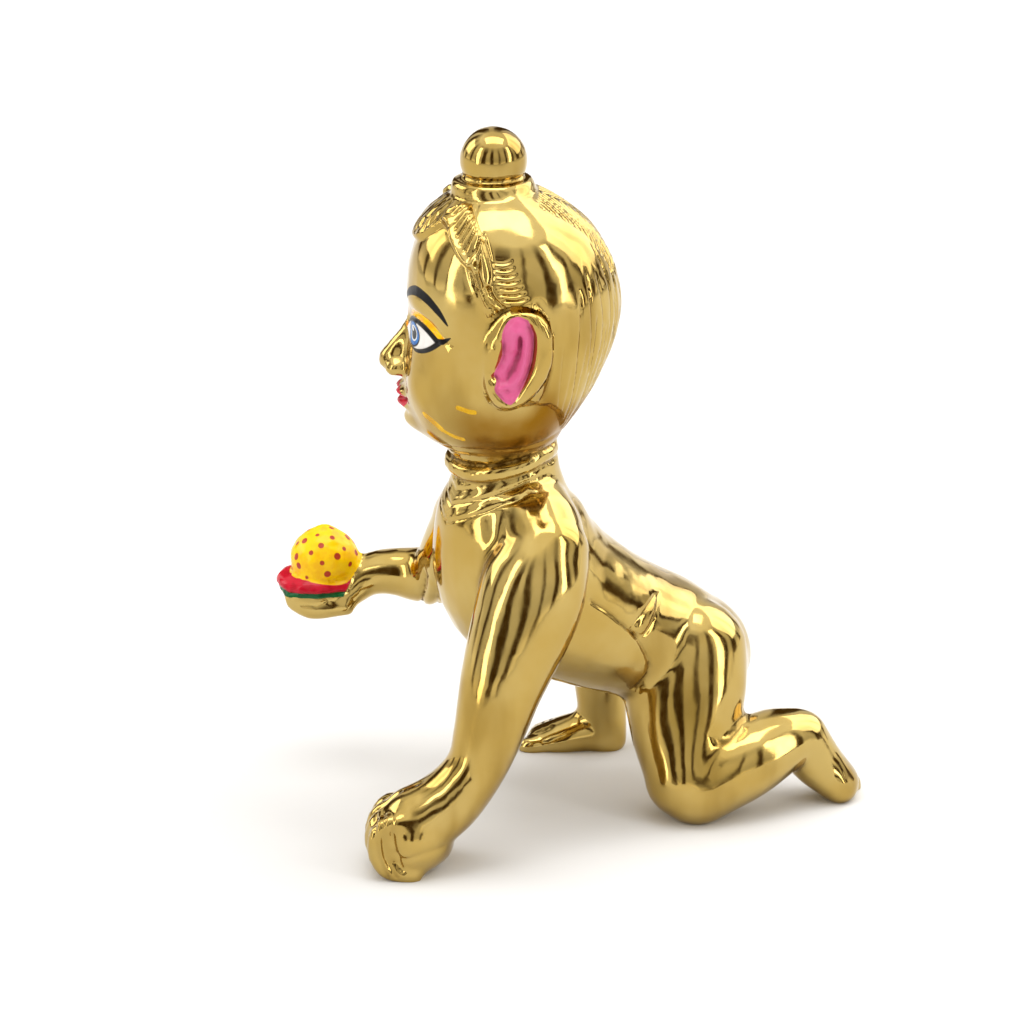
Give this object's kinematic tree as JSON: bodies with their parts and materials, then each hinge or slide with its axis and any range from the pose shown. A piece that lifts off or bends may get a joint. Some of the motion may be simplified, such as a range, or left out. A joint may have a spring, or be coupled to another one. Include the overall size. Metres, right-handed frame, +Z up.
{
  "type": "crawling child idol",
  "caption": "Crawling child idol cast in brass, resting on one hand, one knee and the toes and foot behind, with a ball sweet on a leaf dish in the raised palm and a knotted bun of hair.",
  "frame": {"origin": "middle of the bounding box in plan, on the ground the idol rests on", "axes": "+Z up, the face looks along -Y, +X to the figure's own left"},
  "size_m": [0.039, 0.0589, 0.07],
  "materials": {
    "brass": "polished"
  },
  "bodies": {
    "root": {"idol": "brass"}
  },
  "joints": []
}
